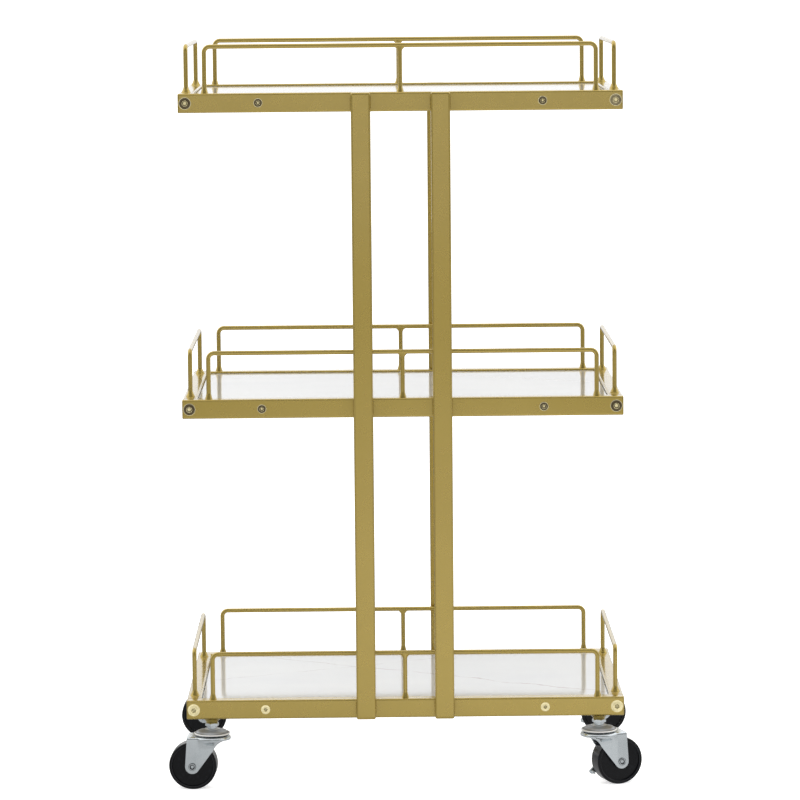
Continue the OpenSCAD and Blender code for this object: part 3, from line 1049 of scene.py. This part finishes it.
def dark_steel():
    """Dull grey steel, slightly mottled, with painted highlights on its edges and painted shade in
    its hollows.
    """
    material, tree, shader = new_material("dark_steel", {"Metallic": 0.65})
    mottle = spread(tree, noise_at(tree, 4.0, 4.0), 0.3, 0.7)
    colour = blend_colour(tree, mottle, srgb(148, 150, 153), srgb(160, 162, 165))
    # Painted highlight on the edges, such as the rolled rim
    colour = blend_colour(tree, edge_share(tree, 0.515, 0.54), colour, srgb(235, 234, 231))
    # Painted shade in the hollows
    colour = blend_colour(tree, edge_share(tree, 0.49, 0.47), colour, srgb(60, 60, 61))
    rough = spread(tree, noise_at(tree, 3.0, 3.0), 0.3, 0.7, 0.30, 0.38)
    grain = bump(tree, noise_at(tree, 0.6, 2.0), 0.006, 0.2)
    feed(tree, shader, Base_Color=colour, Roughness=rough, Normal=grain)
    return material


def black_wheel():
    """Moulded black plastic: glossy, with light scuffs and painted highlights along its edges."""
    material, tree, shader = new_material("black_wheel", {"Specular IOR Level": 0.3})
    scuff = spread(tree, noise_at(tree, 3.0, 6.0), 0.55, 0.75)
    colour = blend_colour(tree, scuff, srgb(4, 5, 9), srgb(18, 20, 25))
    # Painted highlight along the edges of the rim and tread
    colour = blend_colour(tree, edge_share(tree, 0.53, 0.58, 0, 0.5), colour, srgb(88, 89, 92))
    rough = spread(tree, noise_at(tree, 4.0, 3.0), 0.3, 0.7, 0.16, 0.24)
    grain = bump(tree, noise_at(tree, 0.6, 2.0), 0.006, 0.2)
    feed(tree, shader, Base_Color=colour, Roughness=rough, Normal=grain)
    return material


# ---- stage

def stage_object(name, points, faces):
    data = bpy.data.meshes.new(name)
    data.from_pydata(points, [], faces)
    obj = bpy.data.objects.new(name, data)
    bpy.context.scene.collection.objects.link(obj)
    return obj


def make_floor():
    half = 200.0
    corners = [(-half, -half, 0), (half, -half, 0), (half, half, 0), (-half, half, 0)]
    floor = stage_object("floor", corners, [(0, 1, 2, 3)])
    material, tree, shader = new_material("pale_floor", {
        "Roughness": 0.9, "Emission Strength": 0.55})
    tint = blend_colour(tree, noise_at(tree, 400.0), srgb(250, 250, 250), srgb(253, 253, 253))
    feed(tree, shader, Base_Color=tint, Emission_Color=tint)
    floor.data.materials.append(material)


def reflectors_only(obj):
    """Lets reflections see an object, and nothing else."""
    obj.visible_camera = False
    obj.visible_diffuse = False
    obj.visible_shadow = False
    obj.visible_transmission = False


def glow(name, strength_of):
    """Emission whose strength comes from a function of the tree and its X, Y and Z sockets."""
    material = bpy.data.materials.new(name)
    material.use_nodes = True
    tree = material.node_tree
    tree.nodes.clear()
    light = add_node(tree, "Emission", {"Strength": strength_of(tree, coordinate(tree))})
    output = add_node(tree, "OutputMaterial")
    tree.links.new(light.outputs[0], output.inputs["Surface"])
    return material


def front_card(tree, place):
    """Bright patch low on the tent's front wall, which flat fronts mirror."""
    flat = add_node(tree, "CombineXYZ", {"X": place["X"], "Z": place["Z"]}).outputs[0]
    inputs = {0: flat, 1: (0, 0, 0.6)}
    away = add_node(tree, "VectorMath", inputs, operation="DISTANCE").outputs["Value"]
    patch = spread(tree, away, 1.0, 2.6, 0.6, 0, "SMOOTHSTEP")
    on_front = spread(tree, place["Y"], 0.01 - TENT, 0.02 - TENT, 1, 0)
    return multiply(tree, patch, on_front)


def tent_walls(tree, place):
    """Brighter from front to back and towards the ceiling, with a card on the front wall."""
    low = spread(tree, place["Y"], -TENT, TENT, 0.22, 0.95, "SMOOTHSTEP")
    rise = spread(tree, place["Z"], 0.2, 0.6 * TENT, 0, 1, "SMOOTHSTEP")
    overhead = multiply(tree, rise, spread(tree, place["Y"], -6, -1, 0, 1, "SMOOTHSTEP"))
    climb = multiply(tree, overhead, math_node(tree, "SUBTRACT", 1.25, low))
    room = math_node(tree, "ADD", low, climb)
    return math_node(tree, "ADD", room, front_card(tree, place))


def tent_floor(tree, place):
    """Grey floor: shaded round the cart, and darker far in front of it, behind and sideways."""
    front = spread(tree, place["Y"], -6.0, -0.6, 0.35, 0.8, "SMOOTHSTEP")
    behind = spread(tree, place["Y"], 0.0, 1.2, 1.0, 0.45, "SMOOTHSTEP")
    off_middle = math_node(tree, "ABSOLUTE", place["X"])
    ends = spread(tree, off_middle, 0.25, 0.36, 1, 0.75, "SMOOTHSTEP")
    beside = math_node(tree, "SUBTRACT", off_middle, 0.25)
    before = math_node(tree, "SUBTRACT", math_node(tree, "ABSOLUTE", place["Y"]), 0.15)
    away = math_node(tree, "MAXIMUM", beside, before)
    shade = spread(tree, away, 0.0, 0.5, 0.66, 1, "SMOOTHSTEP")
    # Darker at the left than at the right, except further than 0.75 m in front
    left_to_right = spread(tree, place["X"], -0.1, 0.25, 0.84, 1.05)
    close = spread(tree, place["Y"], -0.75, -0.6)
    close_tone = spread(tree, close, 0, 1, 1, left_to_right)
    towards_right = spread(tree, place["X"], -0.3, 0.3, 0.97, 1.12)
    return multiply(tree, front, behind, shade, close_tone, ends, towards_right)


def make_reflection_tent():
    """What shiny parts mirror: a bright ceiling and back wall, a darker front, a grey floor."""
    corners = [(x * TENT, y * TENT, z) for z in (0.0, TENT) for y in (-1, 1) for x in (-1, 1)]
    tent = stage_object("reflection_tent", corners, [
        (0, 1, 5, 4), (1, 3, 7, 5), (3, 2, 6, 7), (2, 0, 4, 6), (4, 5, 7, 6)])
    tent.data.materials.append(glow("tent_walls", tent_walls))
    ground = [(x, y, MM) for x, y, _ in corners[:4]]
    sheet = stage_object("reflection_floor", ground, [(0, 1, 3, 2)])
    sheet.data.materials.append(glow("tent_floor", tent_floor))
    reflectors_only(tent)
    reflectors_only(sheet)


def make_world():
    world = bpy.data.worlds.new("studio")
    world.use_nodes = True
    background = world.node_tree.nodes["Background"]
    background.inputs["Color"].default_value = (1, 1, 1, 1)
    background.inputs["Strength"].default_value = 1.0
    bpy.context.scene.world = world


def area_light(name, place, target, size, power):
    """Square lamp that shines at the target and that nothing mirrors."""
    data = bpy.data.lights.new(name, "AREA")
    data.size = size
    data.energy = power
    lamp = bpy.data.objects.new(name, data)
    bpy.context.scene.collection.objects.link(lamp)
    lamp.visible_glossy = False
    lamp.location = place
    lamp.rotation_euler = (Vector(target) - Vector(place)).to_track_quat("-Z", "Y").to_euler()


def make_camera():
    """Long lens from the front, a little above the top shelf and looking down."""
    data = bpy.data.cameras.new("camera")
    data.lens = 174.1
    data.sensor_width = 36
    data.clip_start, data.clip_end = 0.1, 100
    camera = bpy.data.objects.new("camera", data)
    bpy.context.scene.collection.objects.link(camera)
    place = Matrix.Translation((-0.0267, -4.118, 0.870))
    turn = Matrix.Rotation(math.radians(-0.342), 4, "Z")
    tilt = Matrix.Rotation(math.radians(90 - 6.629), 4, "X")
    roll = Matrix.Rotation(math.radians(-0.498), 4, "Z")
    camera.matrix_world = place @ turn @ tilt @ roll
    bpy.context.scene.camera = camera


# ---- the cart

def plate_hidden_nodes(zinc):
    """Gives zinc to the CAD nodes that are inside the cart and keep their CAD meshes."""
    for node in ("end_beam_inserts", "swivel_bearings"):
        data = frame["nodes"][node].data
        data.materials.clear()
        data.materials.append(zinc)


def build():
    gold, marble, brass = gold_paint(), marble_panel(), yellow_zinc()
    zinc, steel, rubber = bright_zinc(), dark_steel(), black_wheel()
    make_uprights(gold)
    make_beams(gold)
    make_guard_rails(gold)
    make_panels(marble)
    make_support_bars(gold)
    make_bolts(brass)
    make_fixed_caster_parts(gold, zinc, steel)
    make_forks(zinc)
    make_axles(bright_zinc("riveted_zinc", painted_slope_shade=True))
    make_wheels(rubber)
    make_brake_levers(zinc)
    plate_hidden_nodes(zinc)
    for piece in [o for o in bpy.context.scene.objects if o.name.startswith("fine_")]:
        smooth(piece)


build()
make_floor()
make_reflection_tent()
make_world()
make_camera()
area_light("softbox", place=(-1.2, -1.0, 3.2), target=(0, 0, 0.3), size=3.0, power=25)
bpy.context.scene.view_settings.view_transform = "Standard"
